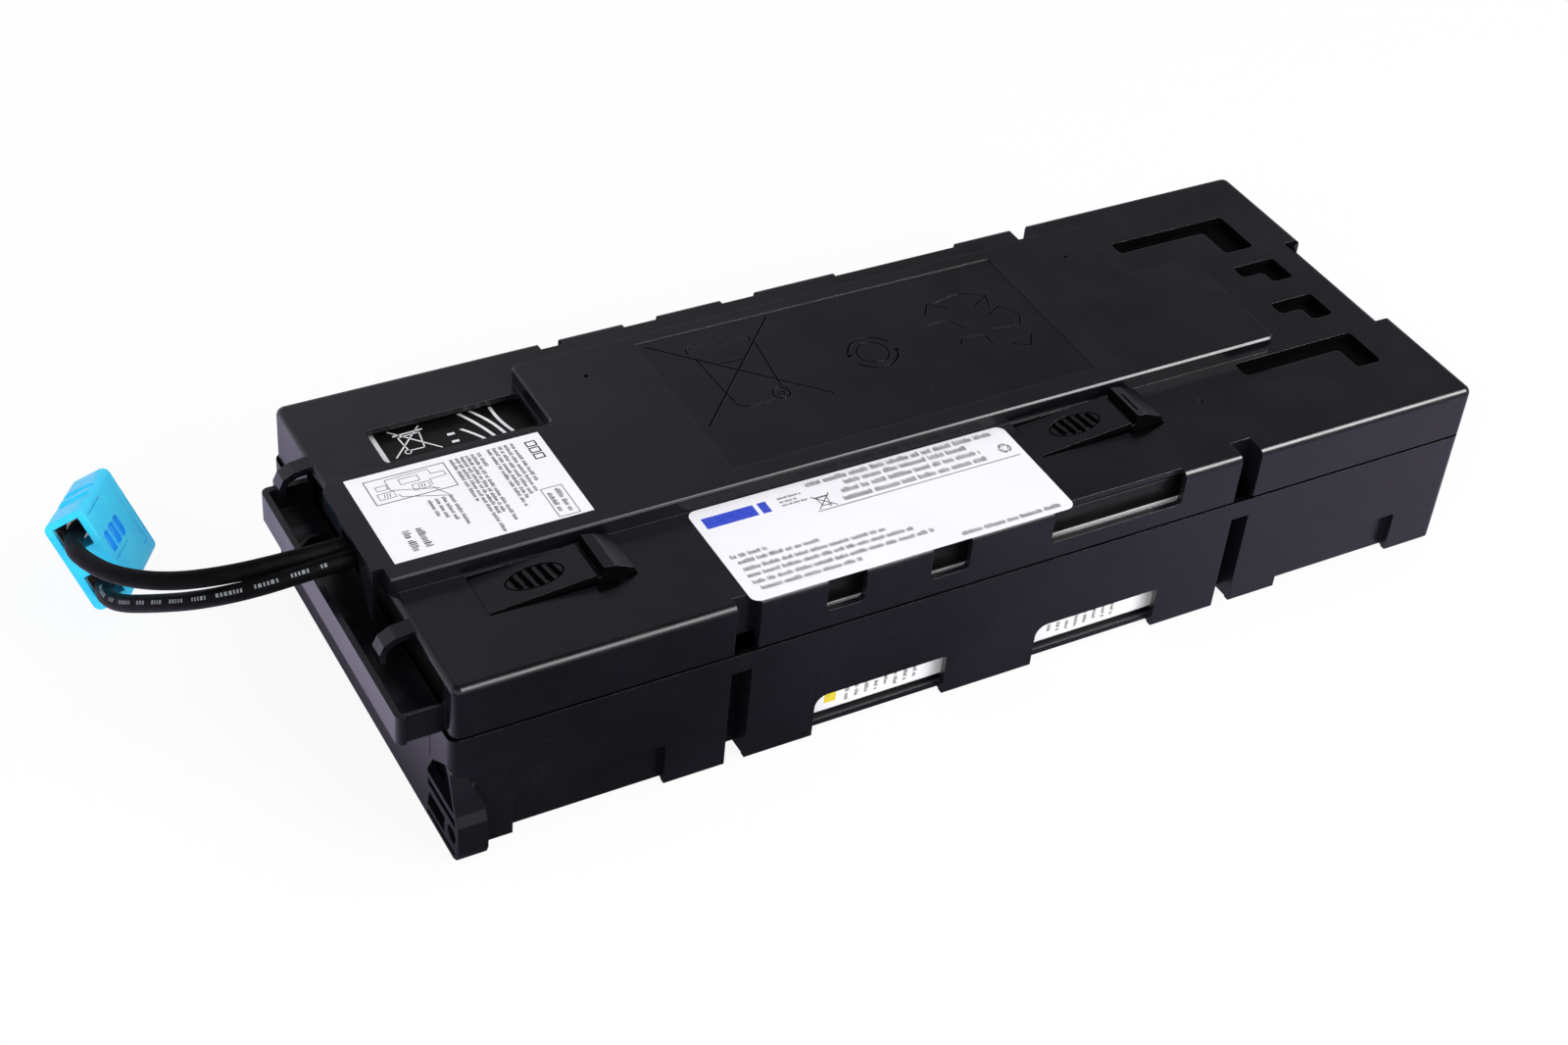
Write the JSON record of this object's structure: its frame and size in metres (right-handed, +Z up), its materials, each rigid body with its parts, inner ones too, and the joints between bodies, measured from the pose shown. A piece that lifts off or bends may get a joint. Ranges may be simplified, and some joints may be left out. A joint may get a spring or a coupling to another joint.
{
  "type": "ups battery cartridge",
  "caption": "Black moulded case of sealed lead-acid blocks wired in series, with sprung release tabs, a cable trough and a flexible lead with a blue connector.",
  "frame": {"origin": "centre of the case's footprint, trough and corner foot included, on the surface it rests on", "axes": "+X along the case, away from the lead; +Y from the front wall, which has the corner foot, to the back wall; +Z up through the cover"},
  "size_m": [0.5136, 0.21, 0.0802],
  "materials": {
    "case_plastic": "fine spark-eroded texture with a satin sheen",
    "battery_plastic": "satin moulded plastic",
    "top_label": "white printed film",
    "front_label": "white printed film",
    "end_label": "white printed paper",
    "lead_insulation": "smooth, slightly glossy",
    "link_insulation": "smooth, slightly glossy",
    "tin_plate": "tin-plated brass",
    "receptacle_sleeve": "natural nylon",
    "connector_plastic": "bright blue moulded plastic, satin",
    "contact_metal": "silver-plated copper",
    "spring_steel": "bright spring steel"
  },
  "bodies": {
    "case": {"battery_1": "battery_plastic", "battery_1_end_label": "end_label", "battery_1_negative_receptacle": "receptacle_sleeve", "battery_1_negative_terminal": "tin_plate", "battery_1_positive_receptacle": "receptacle_sleeve", "battery_1_positive_terminal": "tin_plate", "battery_2": "battery_plastic", "battery_2_end_label": "end_label", "battery_2_negative_receptacle": "receptacle_sleeve", "battery_2_negative_terminal": "tin_plate", "battery_2_positive_receptacle": "receptacle_sleeve", "battery_2_positive_terminal": "tin_plate", "battery_3": "battery_plastic", "battery_3_end_label": "end_label", "battery_3_negative_receptacle": "receptacle_sleeve", "battery_3_negative_terminal": "tin_plate", "battery_3_positive_receptacle": "receptacle_sleeve", "battery_3_positive_terminal": "tin_plate", "battery_4": "battery_plastic", "battery_4_end_label": "end_label", "battery_4_negative_receptacle": "receptacle_sleeve", "battery_4_negative_terminal": "tin_plate", "battery_4_positive_receptacle": "receptacle_sleeve", "battery_4_positive_terminal": "tin_plate", "connector_housing": "connector_plastic", "front_label": "front_label", "instruction_label": "top_label", "link_lead_left": "link_insulation", "link_lead_middle": "link_insulation", "link_lead_right": "link_insulation", "lower_tray": "case_plastic", "negative_contact": "contact_metal", "negative_contact_spring": "spring_steel", "negative_lead": "lead_insulation", "negative_lead_inner": "lead_insulation", "positive_contact": "contact_metal", "positive_contact_spring": "spring_steel", "positive_lead": "lead_insulation", "positive_lead_inner": "lead_insulation", "upper_cover": "case_plastic"},
    "release_tab_1": {"release_tab_1": "case_plastic"},
    "release_tab_2": {"release_tab_2": "case_plastic"}
  },
  "joints": [
    {"name": "release_tab_1_press", "type": "hinge", "parent": "case", "child": "release_tab_1", "pos_m": [-0.17905, -0.03945, 0.0711], "axis": [0, 1, 0], "range_deg": [0, 5], "stiffness_Nm_per_rad": 8},
    {"name": "release_tab_2_press", "type": "hinge", "parent": "case", "child": "release_tab_2", "pos_m": [0.04055, -0.03945, 0.0711], "axis": [0, 1, 0], "range_deg": [0, 5], "stiffness_Nm_per_rad": 8}
  ]
}
